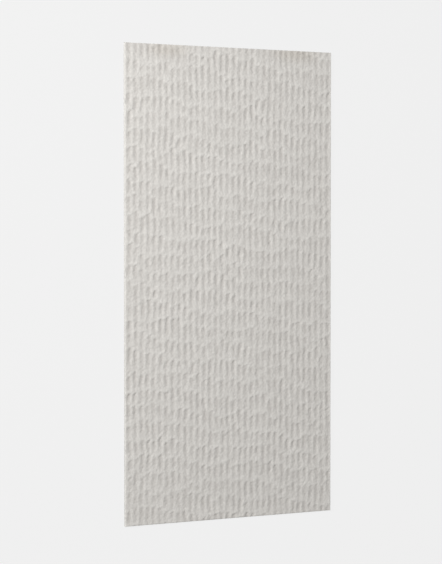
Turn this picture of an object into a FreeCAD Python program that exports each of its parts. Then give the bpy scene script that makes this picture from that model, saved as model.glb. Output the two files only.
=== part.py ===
"""Chiselled wall panel tile: one thin moulded sheet, fluted lengthways and tooled in courses on its face.

The sheet lies on its flat back with the tooled face up. X runs across the flutes, Y runs along them
towards the head of the tile, and Z is the thickness. The origin is the middle of the back.
All sizes are in millimetres.
"""
import FreeCAD, Part

import math
import os
import random

# Sheet
PANEL_WIDTH = 600.0
PANEL_LENGTH = 1200.0
PANEL_THICKNESS = 5.0

# Flutes side by side from the left edge, with a narrow land left standing between each pair
FLUTE_PITCH = 17.5
LAND_WIDTH = 4.0
LEFT_LAND_WIDTH = 5.65
CHEEK_ANGLE = 18.5

# Tool strokes that make each flute: a stroke bites in at its head, which leans up to the right, eases out
# down its length, then climbs from its foot to the next head
STROKE_PITCH = 43.0
STROKE_LEAN = 30.0
BITE_LENGTH = 4.0
BITE_DEPTH = 1.7
FOOT_LENGTH = 8.0
FOOT_DEPTH = 0.75
RUN_OUT_DEPTH = 0.2

# How unevenly the tool works: each course of strokes falls to the right and wanders slowly and quickly
# on its way across the sheet, then each stroke strays by itself
COURSE_FALL = 6.5
SLOW_WANDER = 6.0
SLOW_WANDER_ACROSS = 260.0
QUICK_WANDER = 3.5
QUICK_WANDER_ACROSS = 120.0
HEAD_SCATTER = 5.0
DEPTH_SCATTER = 0.5
TOOLING_SEED = 11

# Cutters run this far past both ends of the sheet
OVERRUN = 5.0

FLUTE_WIDTH = FLUTE_PITCH - LAND_WIDTH
CHEEK_SLOPE = math.tan(math.radians(CHEEK_ANGLE))
LEAN_SLOPE = math.tan(math.radians(STROKE_LEAN))
FALL_SLOPE = math.tan(math.radians(COURSE_FALL))
LEFT_EDGE = -PANEL_WIDTH / 2
FOOT_END = -PANEL_LENGTH / 2
HEAD_END = PANEL_LENGTH / 2


def flute_centres():
    """Places across the sheet of every flute that fits between its side edges."""
    first = LEFT_EDGE + LEFT_LAND_WIDTH + FLUTE_WIDTH / 2
    room = PANEL_WIDTH - LEFT_LAND_WIDTH - FLUTE_WIDTH
    count = 1 + int(room / FLUTE_PITCH)
    return [first + index * FLUTE_PITCH for index in range(count)]


def courses(chance):
    """Each course's level at mid width and the starts of its two wanders, with spares past both ends."""
    stray = PANEL_WIDTH / 2 * FALL_SLOPE + FLUTE_PITCH / 2 * LEAN_SLOPE + SLOW_WANDER + QUICK_WANDER
    spare = stray + HEAD_SCATTER + STROKE_PITCH + OVERRUN
    count = 1 + math.ceil((PANEL_LENGTH + 2 * spare) / STROKE_PITCH)
    levels = [HEAD_END + spare - index * STROKE_PITCH for index in range(count)]
    return [(level, chance.random(), chance.random()) for level in levels]


def course_line(course, across):
    """Place along the sheet of a course at this place across it."""
    level, slow_start, quick_start = course
    slow = math.sin(2 * math.pi * (across / SLOW_WANDER_ACROSS + slow_start))
    quick = math.sin(2 * math.pi * (across / QUICK_WANDER_ACROSS + quick_start))
    return level - across * FALL_SLOPE + SLOW_WANDER * slow + QUICK_WANDER * quick


def prism(outline, direction):
    """Solid that an outline of straight sides sweeps out along a direction."""
    wire = Part.makePolygon(outline + outline[:1])
    return Part.Face(wire).extrude(direction)


def trough(centre):
    """The widest hollow that a flute can have: a straight vee between two lands, proud of the face."""
    clear_width = LAND_WIDTH / 4
    half_width = FLUTE_WIDTH / 2
    root = PANEL_THICKNESS - half_width * CHEEK_SLOPE
    top = PANEL_THICKNESS + clear_width * CHEEK_SLOPE
    start = FOOT_END - OVERRUN
    outline = [
        FreeCAD.Vector(centre, start, root),
        FreeCAD.Vector(centre + half_width + clear_width, start, top),
        FreeCAD.Vector(centre - half_width - clear_width, start, top),
    ]
    return prism(outline, FreeCAD.Vector(0, PANEL_LENGTH + 2 * OVERRUN, 0))


def tooled_floor(centre, heads, chance):
    """Points down the middle of one flute: each stroke's head, its bite, and its foot short of the next."""
    floor = []
    for head, next_head in zip(heads, heads[1:]):
        depth = BITE_DEPTH + DEPTH_SCATTER * chance.uniform(-1, 1)
        floor.append(FreeCAD.Vector(centre, head, PANEL_THICKNESS - RUN_OUT_DEPTH))
        floor.append(FreeCAD.Vector(centre, head - BITE_LENGTH, PANEL_THICKNESS - depth))
        floor.append(FreeCAD.Vector(centre, next_head + FOOT_LENGTH, PANEL_THICKNESS - FOOT_DEPTH))
    return floor


def space_over(floor):
    """Everything above a tooled floor, as wide as one pitch and leaning as the strokes do."""
    ceiling = FreeCAD.Vector(0, 0, PANEL_THICKNESS + FLUTE_PITCH)
    ends = [FreeCAD.Vector(point.x, point.y, 0) + ceiling for point in (floor[-1], floor[0])]
    side = FreeCAD.Vector(FLUTE_PITCH / 2, FLUTE_PITCH / 2 * LEAN_SLOPE, 0)
    outline = [point - side for point in floor + ends]
    return prism(outline, side * 2)


def flute_cutter(centre, all_courses, chance):
    """One flute as the tool leaves it: its trough, down to its tooled floor."""
    heads = [course_line(course, centre) + HEAD_SCATTER * chance.uniform(-1, 1) for course in all_courses]
    return trough(centre).common(space_over(tooled_floor(centre, heads, chance)))


def panel():
    """The sheet with every flute tooled into its face."""
    corner = FreeCAD.Vector(LEFT_EDGE, FOOT_END, 0)
    sheet = Part.makeBox(PANEL_WIDTH, PANEL_LENGTH, PANEL_THICKNESS, corner)
    chance = random.Random(TOOLING_SEED)
    all_courses = courses(chance)
    cutters = [flute_cutter(centre, all_courses, chance) for centre in flute_centres()]
    return sheet.cut(cutters)


def main():
    """Writes the one moulded piece."""
    os.makedirs("parts", exist_ok=True)
    shape = panel()
    shape.exportStep("parts/panel.step")
    print("panel valid", shape.isValid(), "solids", len(shape.Solids), "faces", len(shape.Faces))
    print("panel volume in litres", round(shape.Volume / 1e6, 4))


main()
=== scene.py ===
"""Looks of the chiselled wall panel tile: its tooled mineral face, plain back, studio light and camera.

Everything is in metres, in the tile's own frame: X runs across the flutes, Y along them towards the head,
and Z out of the tooled face. Sizes that a maker would measure are written in millimetres and named _mm.
"""
import logging
import math
from dataclasses import dataclass, field
from enum import Enum
from typing import Any, ClassVar, Optional

import bpy
from mathutils import Matrix, Vector


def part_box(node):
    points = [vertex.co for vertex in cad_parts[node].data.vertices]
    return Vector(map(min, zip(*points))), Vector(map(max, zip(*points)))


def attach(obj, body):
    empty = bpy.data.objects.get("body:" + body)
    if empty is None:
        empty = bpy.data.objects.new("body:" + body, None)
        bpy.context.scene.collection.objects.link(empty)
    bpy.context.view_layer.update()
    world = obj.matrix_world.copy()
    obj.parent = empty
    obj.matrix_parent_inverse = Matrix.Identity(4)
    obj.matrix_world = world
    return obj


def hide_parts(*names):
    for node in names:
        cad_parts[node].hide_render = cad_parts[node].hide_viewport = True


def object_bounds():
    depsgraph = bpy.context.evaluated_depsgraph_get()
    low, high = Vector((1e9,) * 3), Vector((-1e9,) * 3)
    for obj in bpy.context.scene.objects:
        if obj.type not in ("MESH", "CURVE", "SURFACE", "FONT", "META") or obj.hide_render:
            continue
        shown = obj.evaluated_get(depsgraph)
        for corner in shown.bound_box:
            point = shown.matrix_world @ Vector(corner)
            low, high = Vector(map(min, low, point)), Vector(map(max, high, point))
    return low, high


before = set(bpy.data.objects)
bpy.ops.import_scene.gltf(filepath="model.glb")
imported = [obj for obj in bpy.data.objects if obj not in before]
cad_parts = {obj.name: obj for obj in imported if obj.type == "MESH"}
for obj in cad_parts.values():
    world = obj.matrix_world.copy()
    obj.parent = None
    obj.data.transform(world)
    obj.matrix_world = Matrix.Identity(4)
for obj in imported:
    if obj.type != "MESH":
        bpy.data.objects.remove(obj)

CAD_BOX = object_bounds()
MM = 0.001
# Attribute that holds the share of painted shade in the hollows
TOOLED = "tooled"
HOLLOW_SHADE = "hollow"
CUT = "cut"

log = logging.getLogger("wall_panel_tile")


class Surface(Enum):
    """What a point of the sheet belongs to, as the shares of the tooling and of the cut edge's tone there."""

    FACE = (1.0, 0.0)
    ARRIS = (1.0, 1.0)
    BACK = (0.0, 1.0)


def linear(code: str) -> tuple[float, float, float, float]:
    """Turns a colour as a person writes it into the light that it stands for.

    Args:
        code: sRGB colour, such as "#D3D0CB".

    Returns:
        Linear red, green, blue and an alpha of 1.
    """
    parts = [int(code[place:place + 2], 16) / 255 for place in (1, 3, 5)]
    red, green, blue = (c / 12.92 if c <= 0.04045 else ((c + 0.055) / 1.055) ** 2.4 for c in parts)
    return red, green, blue, 1.0


def add_node(
    tree: bpy.types.NodeTree, kind: str, inputs: Optional[dict[Any, Any]] = None, **settings: Any
) -> bpy.types.Node:
    """Adds one node with its settings, its links and its plain values.

    Args:
        tree: Tree that the node goes into.
        kind: Blender's name for the kind of node.
        inputs: Socket name or number to what feeds it: a socket, a node's first output or a plain value.
        settings: Properties of the node itself.

    Returns:
        The new node.
    """
    node = tree.nodes.new(kind)
    for name, value in settings.items():
        setattr(node, name, value)
    for socket, value in (inputs or {}).items():
        if isinstance(value, bpy.types.Node):
            value = value.outputs[0]
        if isinstance(value, bpy.types.NodeSocket):
            tree.links.new(value, node.inputs[socket])
        else:
            node.inputs[socket].default_value = value
    return node


@dataclass(frozen=True)
class SoftPatch:
    """A faint soft darker patch on the face, placed from its top left corner."""

    across_mm: float
    down_mm: float
    half_width_mm: float
    half_height_mm: float
    colour: str = "#F6F4F1"
    core: float = 0.1

    def share(self, tree: bpy.types.NodeTree, place: bpy.types.NodeSocket) -> bpy.types.Node:
        """How much of the mark a place takes.

        Args:
            tree: The material's tree.
            place: Object coordinates.

        Returns:
            A share that is 1 in the mark's core and fades to 0 at its edge.
        """
        low, high = CAD_BOX
        centre = (low[0] + self.across_mm * MM, high[1] - self.down_mm * MM, high[2])
        reach = (self.half_width_mm * MM, self.half_height_mm * MM, 1.0)
        away = add_node(
            tree,
            "ShaderNodeMapping",
            {"Vector": place, "Location": centre, "Scale": reach},
            vector_type="TEXTURE",
        )
        far = add_node(tree, "ShaderNodeVectorMath", {0: away}, operation="LENGTH").outputs["Value"]
        return add_node(
            tree,
            "ShaderNodeMapRange",
            {"Value": far, "From Min": 1.0, "From Max": self.core},
            interpolation_type="SMOOTHSTEP",
        )


@dataclass(frozen=True)
class MouldedMineral:
    """Off-white clay and mineral sheet, moulded with a sandy face: quite matte, with painted shade that
    darkens its hollows.
    """

    name: str = "moulded_mineral_sheet"
    ridge: str = "#E3E0DB"
    # Colour of the painted shade in the hollows, reached where the cut is at its full depth
    hollow: str = "#CECAC5"
    cut: str = "#C4C2BE"
    # Soft darker patches near the head of the face
    soft_patches: tuple[SoftPatch, ...] = (SoftPatch(118.0, 8.0, 85.0, 36.0), SoftPatch(490.0, 4.0, 100.0, 38.0))
    speckle: str = "#F6F6F6"
    speckle_mm: float = 6.0
    speckle_from: float = 0.2
    speckle_to: float = 0.8
    grit_mm: float = 6.0
    grit_height_mm: float = 0.8
    roughness: float = 0.92
    specular: float = 0.2

    def material(self) -> bpy.types.Material:
        """Builds the finish.

        Returns:
            The material, which reads Object coordinates and how deep the tooling goes.
        """
        made = bpy.data.materials.new(self.name)
        made.use_nodes = True
        tree = made.node_tree
        tree.nodes.clear()
        place = add_node(tree, "ShaderNodeTexCoord").outputs["Object"]
        shader = add_node(
            tree,
            "ShaderNodeBsdfPrincipled",
            {
                "Base Color": self._tone(tree, place),
                "Roughness": self.roughness,
                "Specular IOR Level": self.specular,
                "Normal": self._grit(tree, place),
            },
        )
        add_node(tree, "ShaderNodeOutputMaterial", {"Surface": shader})
        return made

    def _tone(self, tree: bpy.types.NodeTree, place: bpy.types.NodeSocket) -> bpy.types.NodeSocket:
        """Paler ridges and painted shade that darkens the hollows with their depth, soft darker patches on
        the face alone, with cut edges and a speckle of sand.

        The speckle is drawn coarser than real sand, so that it shows at this distance.

        Args:
            tree: The material's tree.
            place: Object coordinates.

        Returns:
            The colour.
        """
        tone_shares = {
            mark: add_node(tree, "ShaderNodeAttribute", attribute_name=mark).outputs["Fac"]
            for mark in (HOLLOW_SHADE, CUT)
        }
        grain = add_node(
            tree, "ShaderNodeTexNoise", {"Vector": place, "Scale": 1 / (self.speckle_mm * MM), "Detail": 0.0}
        )
        sand = add_node(
            tree,
            "ShaderNodeMapRange",
            {"Value": grain, "From Min": self.speckle_from, "From Max": self.speckle_to},
        )
        layers = [
            # Painted shade: the colour darkens towards the hollow shade colour as the cut deepens
            (tone_shares[HOLLOW_SHADE], self.hollow, "MIX"),
            *((patch.share(tree, place), patch.colour, "MULTIPLY") for patch in self.soft_patches),
            (tone_shares[CUT], self.cut, "MIX"),
            (sand, self.speckle, "MULTIPLY"),
        ]
        tone = linear(self.ridge)
        for share, colour, blend in layers:
            mixed = add_node(
                tree,
                "ShaderNodeMix",
                {0: share, 6: tone, 7: linear(colour)},
                data_type="RGBA",
                blend_type=blend,
            )
            tone = mixed.outputs[2]
        return tone

    def _grit(self, tree: bpy.types.NodeTree, place: bpy.types.NodeSocket) -> bpy.types.Node:
        """Sandy grain, drawn coarser than real sand so that it shows at this distance.

        Args:
            tree: The material's tree.
            place: Object coordinates.

        Returns:
            The bump node.
        """
        grain = add_node(
            tree, "ShaderNodeTexNoise", {"Vector": place, "Scale": 1 / (self.grit_mm * MM), "Detail": 0.0}
        )
        return add_node(
            tree,
            "ShaderNodeBump",
            {"Strength": 1.0, "Distance": self.grit_height_mm * MM, "Height": grain},
        )


@dataclass
class PanelTile:
    """The one moulded sheet: a flat slab whose face follows the tooled flutes of the solid."""

    RAYS: ClassVar[tuple[float, ...]] = (-1.0, -0.5, 0.0, 0.5, 1.0)
    RAY_CLEARANCE: ClassVar[float] = 1.0 * MM
    NOISE_DETAIL: ClassVar[float] = 2.0
    RIM_SLACK: ClassVar[float] = 1.01

    node: str = "panel"
    slot: str = "mineral_sheet"
    # Flutes, placed as in the solid
    flute_pitch_mm: float = 17.5
    first_flute_mm: float = 12.4
    flute_count: int = 34
    # Points of the face, and the worn arris round it
    columns_per_flute: int = 6
    rows: int = 464
    arris_mm: float = 0.5
    crease_deg: float = 50.0
    # Section of a flute, and how the head of a stroke arches and leans
    sharpness: float = 6.0
    arch_mm: float = 4.0
    lean_mm: float = 5.5
    # Unevenness of the handwork: how far each kind goes, and how broad it is
    soften_mm: float = 8.0
    soften_size_mm: float = 60.0
    jag_mm: float = 6.0
    jag_size_mm: float = 12.0
    stray_mm: float = 13.0
    stray_size_mm: float = 70.0
    run_out_mm: float = 0.7
    run_out_size_mm: float = 60.0
    uneven: float = 0.9
    uneven_size_mm: float = 60.0
    sway_mm: float = 3.6
    sway_size_mm: float = 40.0
    wander_mm: float = 4.2
    wander_size_mm: float = 120.0
    crumb_mm: float = 0.5
    crumb_size_mm: float = 7.0
    # Depths in the solid at which a stroke begins and is at its full, then the depths that they are given
    lip_depth_mm: float = 0.35
    even_depth_mm: float = 1.4
    run_out_depth_mm: float = 0.3
    full_depth_mm: float = 1.45
    seed: float = 4.0
    low: Vector = field(init=False)
    high: Vector = field(init=False)

    def __post_init__(self) -> None:
        """Reads the sheet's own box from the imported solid."""
        self.low, self.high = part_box(self.node)

    def columns(self) -> list[float]:
        """Spaces the points across the face: even steps over every flute, between two margins.

        Returns:
            Each column's place across the sheet.
        """
        arris = self.arris_mm * MM
        step = self.flute_pitch_mm * MM / self.columns_per_flute
        first = self.low.x + (self.first_flute_mm - self.flute_pitch_mm / 2) * MM
        steps = self.flute_count * self.columns_per_flute
        inner = [first + index * step for index in range(steps + 1)]
        return [self.low.x + arris, *inner, self.high.x - arris]

    def lines(self) -> list[float]:
        """Spaces the points along the face evenly, between the two arrises.

        Returns:
            Each row's place along the sheet.
        """
        arris = self.arris_mm * MM
        start = self.low.y + arris
        step = (self.high.y - self.low.y - 2 * arris) / self.rows
        return [start + index * step for index in range(self.rows + 1)]

    def blank(self) -> bpy.types.Object:
        """Makes the closed slab before tooling: a fine face, an arris all round, plain edges and back.

        Returns:
            The slab's object, with each point's shares of the tooling and the cut tone as attributes.
        """
        across, along = self.columns(), self.lines()
        wide, tall = len(across), len(along)
        points = [(x, y, self.high.z) for y in along for x in across]
        faces = [
            (row * wide + col, row * wide + col + 1, (row + 1) * wide + col + 1, (row + 1) * wide + col)
            for row in range(tall - 1)
            for col in range(wide - 1)
        ]
        rim = (
            [col for col in range(wide)]
            + [row * wide + wide - 1 for row in range(1, tall)]
            + [(tall - 1) * wide + col for col in range(wide - 2, -1, -1)]
            + [row * wide for row in range(tall - 2, 0, -1)]
        )
        arris_start = len(points)
        points += [self._on_edge(points[index], self.high.z - self.arris_mm * MM) for index in rim]
        back_start = len(points)
        points += [self._on_edge(points[index], self.low.z) for index in rim]
        count = len(rim)
        for place in range(count):
            after = (place + 1) % count
            faces.append((rim[place], arris_start + place, arris_start + after, rim[after]))
            faces.append((arris_start + place, back_start + place, back_start + after, arris_start + after))
        faces += self._back(back_start, wide, tall)
        mesh = bpy.data.meshes.new("panel_blank")
        mesh.from_pydata(points, [], faces)
        tooled = mesh.attributes.new(TOOLED, "FLOAT", "POINT")
        cut = mesh.attributes.new(CUT, "FLOAT", "POINT")
        for surface, start, end in (
            (Surface.FACE, 0, arris_start),
            (Surface.ARRIS, arris_start, back_start),
            (Surface.BACK, back_start, len(points)),
        ):
            for index in range(start, end):
                tooled.data[index].value, cut.data[index].value = surface.value
        slab = bpy.data.objects.new("panel_tile", mesh)
        bpy.context.scene.collection.objects.link(slab)
        return slab

    def _on_edge(self, point: tuple[float, float, float], height: float) -> tuple[float, float, float]:
        """Moves a point of the face's rim out to the edge of the sheet.

        Args:
            point: Point of the rim.
            height: Height that it goes to.

        Returns:
            The point on the edge.
        """
        x, y, _ = point
        near = self.arris_mm * MM * self.RIM_SLACK
        edge_x = self.low.x if x < self.low.x + near else self.high.x if x > self.high.x - near else x
        edge_y = self.low.y if y < self.low.y + near else self.high.y if y > self.high.y - near else y
        return edge_x, edge_y, height

    def _back(self, start: int, wide: int, tall: int) -> list[tuple[int, ...]]:
        """Faces of the plain back: one strip across the sheet for each row of its rim.

        Args:
            start: Number of the back rim's first point, at the left end of the foot.
            wide: Points along the foot.
            tall: Points along a side.

        Returns:
            Faces that look away from the tooled side.
        """
        count = 2 * (wide + tall) - 4
        right = [start + wide - 1 + row for row in range(tall)]
        left = [start + (count - row) % count for row in range(tall)]
        foot = [start + col for col in range(wide)]
        head = [start + wide + tall - 2 + col for col in range(wide)]
        strips = [(left[row], left[row + 1], right[row + 1], right[row]) for row in range(1, tall - 2)]
        first = (left[1], right[1], *reversed(foot))
        last = (right[tall - 2], left[tall - 2], *reversed(head))
        return [first, *strips, last]

    def sizes(self) -> dict[str, float]:
        """Lists the tooling tree's inputs. Their order gives each unevenness a seed of its own.

        Returns:
            Each input's name and value, with lengths in metres.
        """
        return {
            "Face height": self.high.z,
            "Reach": self.high.y - self.RAY_CLEARANCE,
            "First flute": self.low.x + self.first_flute_mm * MM,
            "Flute pitch": self.flute_pitch_mm * MM,
            "Sharpness": self.sharpness,
            "Arch": self.arch_mm * MM,
            "Lean": -self.lean_mm * MM,
            "Soften": self.soften_mm * MM,
            "Soften size": self.soften_size_mm * MM,
            "Jag": self.jag_mm * MM,
            "Jag size": self.jag_size_mm * MM,
            "Stray": self.stray_mm * MM,
            "Stray size": self.stray_size_mm * MM,
            "Run out": self.run_out_mm * MM,
            "Run out size": self.run_out_size_mm * MM,
            "Uneven": self.uneven,
            "Uneven size": self.uneven_size_mm * MM,
            "Sway": self.sway_mm / self.flute_pitch_mm,
            "Sway size": self.sway_size_mm * MM,
            "Wander": self.wander_mm * MM,
            "Wander size": self.wander_size_mm * MM,
            "Crumb": self.crumb_mm * MM,
            "Crumb size": self.crumb_size_mm * MM,
            "Lip depth": self.lip_depth_mm * MM,
            "Even depth": self.even_depth_mm * MM,
            "Full depth": self.full_depth_mm * MM,
            "Run out depth": self.run_out_depth_mm * MM,
            "Seed": self.seed,
        }

    def tooling(self, finish: bpy.types.Material) -> bpy.types.NodeTree:
        """Builds the tree that presses the tooled flutes of the solid into the blank.

        Args:
            finish: Material of the sheet.

        Returns:
            A Geometry Nodes tree with a named input for each size.
        """
        tree = bpy.data.node_groups.new("chisel_tooling", "GeometryNodeTree")
        face = tree.interface
        face.new_socket("Sheet", in_out="INPUT", socket_type="NodeSocketGeometry")
        face.new_socket("Solid", in_out="INPUT", socket_type="NodeSocketObject")
        for name in self.sizes():
            face.new_socket(name, in_out="INPUT", socket_type="NodeSocketFloat")
        face.new_socket("Sheet", in_out="OUTPUT", socket_type="NodeSocketGeometry")
        given = add_node(tree, "NodeGroupInput").outputs
        place = add_node(tree, "GeometryNodeInputPosition")
        cut = self._strokes(tree, given, place)
        uneven = self._unevenness(tree, given, place, "Uneven")
        worked = add_node(tree, "ShaderNodeMath", {0: cut, 1: uneven, 2: cut}, operation="MULTIPLY_ADD")
        crumb = self._unevenness(tree, given, place, "Crumb")
        rough = add_node(tree, "ShaderNodeMath", {0: crumb, 1: worked}, operation="SUBTRACT")
        lowered = add_node(tree, "ShaderNodeMath", {0: rough, 1: given["Crumb"]}, operation="SUBTRACT")
        sunk = add_node(tree, "ShaderNodeMath", {0: lowered, 1: 0.0}, operation="MINIMUM")
        share = add_node(tree, "GeometryNodeInputNamedAttribute", {"Name": TOOLED})
        moved = add_node(tree, "ShaderNodeMath", {0: sunk, 1: share}, operation="MULTIPLY")
        offset = add_node(tree, "ShaderNodeCombineXYZ", {"Z": moved})
        pressed = add_node(tree, "GeometryNodeSetPosition", {"Geometry": given["Sheet"], "Offset": offset})
        # Share of painted shade: how deep the cut goes, on the tooled face alone
        deep = add_node(tree, "ShaderNodeMath", {0: cut, 1: given["Full depth"]}, operation="DIVIDE")
        hollow = add_node(tree, "ShaderNodeMath", {0: deep, 1: share}, operation="MULTIPLY")
        marked = add_node(
            tree, "GeometryNodeStoreNamedAttribute", {"Geometry": pressed, "Name": HOLLOW_SHADE, "Value": hollow}
        )
        whole = add_node(tree, "GeometryNodeRealizeInstances", {0: marked})
        dressed = add_node(tree, "GeometryNodeSetMaterial", {0: whole, "Material": finish})
        add_node(tree, "NodeGroupOutput", {0: dressed})
        return tree

    def _unevenness(
        self, tree: bpy.types.NodeTree, given: bpy.types.NodeOutputs, place: bpy.types.Node, name: str
    ) -> bpy.types.Node:
        """Signed unevenness over the face, as tall as one of the tree's inputs and as broad as its size.

        Args:
            tree: The tooling tree.
            given: The tree's inputs.
            place: The point's place, or a place on a flute's own track.
            name: Input that gives the height. The same name with " size" gives the breadth.

        Returns:
            The height, above or below zero.
        """
        apart = float(list(self.sizes()).index(name))
        seed = add_node(tree, "ShaderNodeMath", {0: given["Seed"], 1: apart}, operation="ADD")
        scale = add_node(tree, "ShaderNodeMath", {0: 1.0, 1: given[f"{name} size"]}, operation="DIVIDE")
        noise = add_node(
            tree,
            "ShaderNodeTexNoise",
            {"Vector": place, "W": seed, "Scale": scale, "Detail": self.NOISE_DETAIL},
            noise_dimensions="4D",
            normalize=False,
        )
        return add_node(tree, "ShaderNodeMath", {0: noise, 1: given[name]}, operation="MULTIPLY")

    def _strokes(
        self, tree: bpy.types.NodeTree, given: bpy.types.NodeOutputs, place: bpy.types.Node
    ) -> bpy.types.Node:
        """Depth of the tooling: what the strokes of the two nearest flutes cut, each with a round section.

        Args:
            tree: The tooling tree.
            given: The tree's inputs.
            place: The point's place.

        Returns:
            The depth, in metres.
        """
        split = add_node(tree, "ShaderNodeSeparateXYZ", {0: place}).outputs
        wander = self._unevenness(tree, given, place, "Wander")
        jag = self._unevenness(tree, given, place, "Jag")
        across = add_node(tree, "ShaderNodeMath", {0: split["X"], 1: wander}, operation="ADD")
        along = add_node(tree, "ShaderNodeMath", {0: split["Y"], 1: jag}, operation="ADD")
        past = add_node(tree, "ShaderNodeMath", {0: across, 1: given["First flute"]}, operation="SUBTRACT")
        count = add_node(tree, "ShaderNodeMath", {0: past, 1: given["Flute pitch"]}, operation="DIVIDE")
        left = add_node(tree, "ShaderNodeMath", {0: count}, operation="FLOOR")
        total = None
        for side in (0.0, 1.0):
            flute = add_node(tree, "ShaderNodeMath", {0: left, 1: side}, operation="ADD")
            track = add_node(tree, "ShaderNodeCombineXYZ", {"X": flute, "Y": along})
            sway = self._unevenness(tree, given, track, "Sway")
            straight = add_node(tree, "ShaderNodeMath", {0: count, 1: flute}, operation="SUBTRACT")
            swing = add_node(tree, "ShaderNodeMath", {0: straight, 1: sway}, operation="ADD")
            floor = self._floor(tree, given, flute, swing, along, track)
            turn = add_node(tree, "ShaderNodeMath", {0: swing, 1: math.pi / 2}, operation="MULTIPLY")
            wave = add_node(tree, "ShaderNodeMath", {0: turn}, operation="COSINE")
            section = add_node(tree, "ShaderNodeMath", {0: wave, 1: given["Sharpness"]}, operation="POWER")
            cut = add_node(tree, "ShaderNodeMath", {0: floor, 1: section}, operation="MULTIPLY")
            total = cut if total is None else add_node(
                tree, "ShaderNodeMath", {0: total, 1: cut}, operation="ADD"
            )
        return total

    def _floor(
        self,
        tree: bpy.types.NodeTree,
        given: bpy.types.NodeOutputs,
        flute: bpy.types.Node,
        swing: bpy.types.Node,
        along: bpy.types.Node,
        track: bpy.types.Node,
    ) -> bpy.types.Node:
        """Reads the depth of one flute's tooled floor in the solid, with each head arched and leaning.

        Args:
            tree: The tooling tree.
            given: The tree's inputs.
            flute: Number of the flute, from the left.
            swing: How far across from the flute's middle the point is, in pitches.
            along: The point's place along the sheet.
            track: The point's place on the flute's own track, where its strokes stray by themselves.

        Returns:
            The depth, in metres, eased so that a stroke is even along its length and ends in a lip.
        """
        solid = add_node(tree, "GeometryNodeObjectInfo", {"Object": given["Solid"]}).outputs["Geometry"]
        middle = add_node(
            tree,
            "ShaderNodeMath",
            {0: flute, 1: given["Flute pitch"], 2: given["First flute"]},
            operation="MULTIPLY_ADD",
        )
        stray = self._unevenness(tree, given, track, "Stray")
        strayed = add_node(tree, "ShaderNodeMath", {0: along, 1: stray}, operation="ADD")
        square = add_node(tree, "ShaderNodeMath", {0: swing, 1: swing}, operation="MULTIPLY")
        arched = add_node(
            tree, "ShaderNodeMath", {0: square, 1: given["Arch"], 2: strayed}, operation="MULTIPLY_ADD"
        )
        leaned = add_node(
            tree, "ShaderNodeMath", {0: swing, 1: given["Lean"], 2: arched}, operation="MULTIPLY_ADD"
        )
        least = add_node(tree, "ShaderNodeMath", {0: given["Reach"], 1: -1.0}, operation="MULTIPLY")
        start_height = add_node(
            tree, "ShaderNodeMath", {0: given["Face height"], 1: self.RAY_CLEARANCE}, operation="ADD"
        )
        soften = self._unevenness(tree, given, track, "Soften")
        varied = self._unevenness(tree, given, track, "Run out")
        run_out = add_node(tree, "ShaderNodeMath", {0: given["Run out depth"], 1: varied}, operation="ADD")
        total = None
        for side in self.RAYS:
            eased = add_node(
                tree, "ShaderNodeMath", {0: soften, 1: side, 2: leaned}, operation="MULTIPLY_ADD"
            )
            kept = add_node(tree, "ShaderNodeClamp", {"Value": eased, "Min": least, "Max": given["Reach"]})
            start = add_node(tree, "ShaderNodeCombineXYZ", {0: middle, 1: kept, 2: start_height})
            ray = add_node(
                tree,
                "GeometryNodeRaycast",
                {"Target Geometry": solid, "Source Position": start, "Ray Direction": (0.0, 0.0, -1.0)},
            )
            depth = add_node(
                tree,
                "ShaderNodeMath",
                {0: ray.outputs["Hit Distance"], 1: self.RAY_CLEARANCE},
                operation="SUBTRACT",
            )
            met = add_node(
                tree, "ShaderNodeMath", {0: depth, 1: ray.outputs["Is Hit"]}, operation="MULTIPLY"
            )
            part = add_node(tree, "ShaderNodeMath", {0: met, 1: len(self.RAYS)}, operation="DIVIDE")
            total = part if total is None else add_node(
                tree, "ShaderNodeMath", {0: total, 1: part}, operation="ADD"
            )
        return add_node(
            tree,
            "ShaderNodeMapRange",
            {
                "Value": total,
                "From Min": given["Lip depth"],
                "From Max": given["Even depth"],
                "To Min": run_out,
                "To Max": given["Full depth"],
            },
        )

    def build(self, finish: MouldedMineral) -> bpy.types.Object:
        """Makes, tools and dresses the sheet, and puts it in the solid's place.

        Args:
            finish: Finish of the whole sheet.

        Returns:
            The finished piece.
        """
        tile = self.blank()
        tree = self.tooling(finish.material())
        modifier = tile.modifiers.new("Tooling", "NODES")
        modifier.node_group = tree
        values = {"Solid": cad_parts[self.node], **self.sizes()}
        for item in tree.interface.items_tree:
            if item.in_out == "INPUT" and item.name in values:
                modifier[item.identifier] = values[item.name]
        shaped = tile.evaluated_get(bpy.context.evaluated_depsgraph_get())
        mesh = bpy.data.meshes.new_from_object(shaped)
        tile.modifiers.remove(modifier)
        mesh.shade_smooth()
        mesh.set_sharp_from_angle(angle=math.radians(self.crease_deg))
        mesh.attributes.remove(mesh.attributes[TOOLED])
        tile.data = mesh
        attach(tile, "root")
        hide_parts(self.node)
        mesh.calc_loop_triangles()
        log.info("%s: %d triangles", tile.name, len(mesh.loop_triangles))
        return tile


@dataclass(frozen=True)
class Lamp:
    """A square soft lamp, turned towards the middle of the tile, that gives a share of the light there."""

    name: str
    turn_deg: float
    rise_deg: float
    distance: float
    size: float
    share: float

    def build(self) -> None:
        """Makes the lamp, with the power that its share of a level face's light needs."""
        turn, rise = math.radians(self.turn_deg), math.radians(self.rise_deg)
        level = math.cos(rise)
        place = self.distance * Vector((level * math.cos(turn), level * math.sin(turn), math.sin(rise)))
        data = bpy.data.lights.new(self.name, "AREA")
        data.shape = "SQUARE"
        data.size = self.size
        data.energy = math.pi ** 2 * self.distance ** 2 * self.share / math.sin(rise)
        lamp = bpy.data.objects.new(self.name, data)
        lamp.matrix_world = Matrix.Translation(place) @ (-place).to_track_quat("-Z", "Y").to_matrix().to_4x4()
        bpy.context.scene.collection.objects.link(lamp)
        log.info("%s lamp", self.name)


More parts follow.
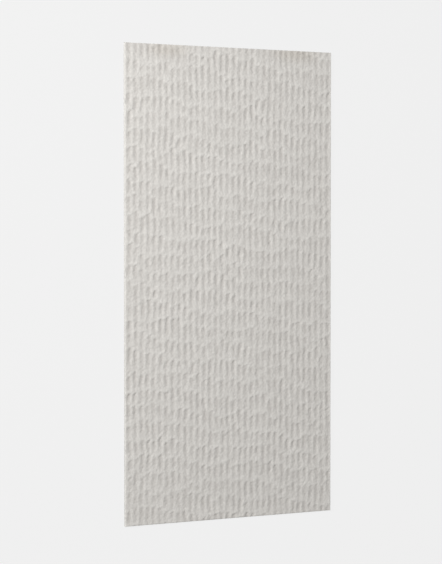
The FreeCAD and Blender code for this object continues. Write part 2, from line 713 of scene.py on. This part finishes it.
@dataclass(frozen=True)
class MattPaper:
    """Pale background paper, uncoated: one even tone without any shine, which still takes a faint shadow."""

    name: str = "matt_paper"
    colour: str = "#F1F1F1"
    show: float = 0.93

    def seen(self, tree: bpy.types.NodeTree) -> bpy.types.Node:
        """Tells rays that see the pale background from those that only carry light.

        Args:
            tree: The paper's or the world's tree.

        Returns:
            1 for what the camera sees, straight, in a reflection or through glass, and 0 for the rest.
        """
        rays = add_node(tree, "ShaderNodeLightPath").outputs
        plain, glossy, through = (rays[f"Is {kind} Ray"] for kind in ("Camera", "Glossy", "Transmission"))
        bent = add_node(tree, "ShaderNodeMath", {0: glossy, 1: through}, operation="MAXIMUM")
        return add_node(tree, "ShaderNodeMath", {0: plain, 1: bent}, operation="MAXIMUM")

    def material(self) -> bpy.types.Material:
        """Builds the finish.

        Returns:
            The material, which mostly shows its own colour and leaves a share to the light and the shadow.
        """
        made = bpy.data.materials.new(self.name)
        made.use_nodes = True
        tree = made.node_tree
        tree.nodes.clear()
        share = add_node(
            tree, "ShaderNodeMath", {0: self.seen(tree), 1: self.show}, operation="MULTIPLY"
        )
        matt = add_node(tree, "ShaderNodeBsdfDiffuse", {"Color": linear(self.colour)})
        shown = add_node(tree, "ShaderNodeEmission", {"Color": linear(self.colour)})
        mixed = add_node(tree, "ShaderNodeMixShader", {0: share, 1: matt, 2: shown})
        add_node(tree, "ShaderNodeOutputMaterial", {"Surface": mixed})
        return made


@dataclass
class Studio:
    """A pale floor, a low raking lamp, a soft box close by and an even fill."""

    floor_size: float = 60.0
    floor_drop_mm: float = 0.2
    paper: MattPaper = MattPaper()
    raking: Lamp = Lamp("raking", turn_deg=162.0, rise_deg=18.0, distance=14.0, size=1.4, share=0.16)
    soft_box: Lamp = Lamp("soft_box", turn_deg=145.0, rise_deg=46.6, distance=2.1, size=0.9, share=0.27)
    fill: float = 0.457

    def build(self) -> None:
        """Makes the floor, the lamps and the world."""
        self._floor()
        self.raking.build()
        self.soft_box.build()
        self._world()

    def _floor(self) -> None:
        """Lays a level floor just under the sheet, clear of its back."""
        half = self.floor_size / 2
        level = CAD_BOX[0][2] - self.floor_drop_mm * MM
        mesh = bpy.data.meshes.new("floor")
        corners = [(-half, -half, level), (half, -half, level), (half, half, level), (-half, half, level)]
        mesh.from_pydata(corners, [], [(0, 1, 2, 3)])
        mesh.materials.append(self.paper.material())
        floor = bpy.data.objects.new("floor", mesh)
        bpy.context.scene.collection.objects.link(floor)
        log.info("floor")

    def _world(self) -> None:
        """Gives an even fill from all round, seen as the floor's own pale colour."""
        world = bpy.data.worlds.new("studio")
        bpy.context.scene.world = world
        world.use_nodes = True
        tree = world.node_tree
        tree.nodes.clear()
        lit = add_node(
            tree, "ShaderNodeBackground", {"Color": (1.0, 1.0, 1.0, 1.0), "Strength": self.fill}
        )
        shown = add_node(tree, "ShaderNodeBackground", {"Color": linear(self.paper.colour)})
        mixed = add_node(tree, "ShaderNodeMixShader", {0: self.paper.seen(tree), 1: lit, 2: shown})
        add_node(tree, "ShaderNodeOutputWorld", {"Surface": mixed})
        log.info("world")


@dataclass
class PhotoCamera:
    """The camera, which looks down on the tile from its left side."""

    lens_mm: float = 125.0
    turn_deg: float = 28.75
    tilt_deg: float = 1.52
    distance: float = 4.977
    clip_end: float = 100.0
    aim: tuple[float, float, float] = (-0.0286, 0.0047, 0.005)

    def build(self) -> None:
        """Places the camera with the tile's head up in the picture."""
        turn, tilt = math.radians(self.turn_deg), math.radians(self.tilt_deg)
        look = Vector((math.sin(turn) * math.cos(tilt), -math.sin(tilt), -math.cos(turn) * math.cos(tilt)))
        right = look.cross(Vector((0.0, 1.0, 0.0))).normalized()
        up = right.cross(look)
        place = Vector(self.aim) - look * self.distance
        turned = Matrix((right, up, -look)).transposed().to_4x4()
        data = bpy.data.cameras.new("photo_camera")
        data.lens = self.lens_mm
        data.clip_end = self.clip_end
        camera = bpy.data.objects.new("photo_camera", data)
        camera.matrix_world = Matrix.Translation(place) @ turned
        bpy.context.scene.collection.objects.link(camera)
        bpy.context.scene.camera = camera
        log.info("camera")


def main() -> None:
    """Builds the camera, the tile and the studio in order."""
    logging.basicConfig(level=logging.INFO, format="%(name)s: %(message)s")
    bpy.context.scene.view_settings.view_transform = "Standard"
    PhotoCamera().build()
    PanelTile().build(MouldedMineral())
    Studio().build()


if __name__ == "__main__":
    main()
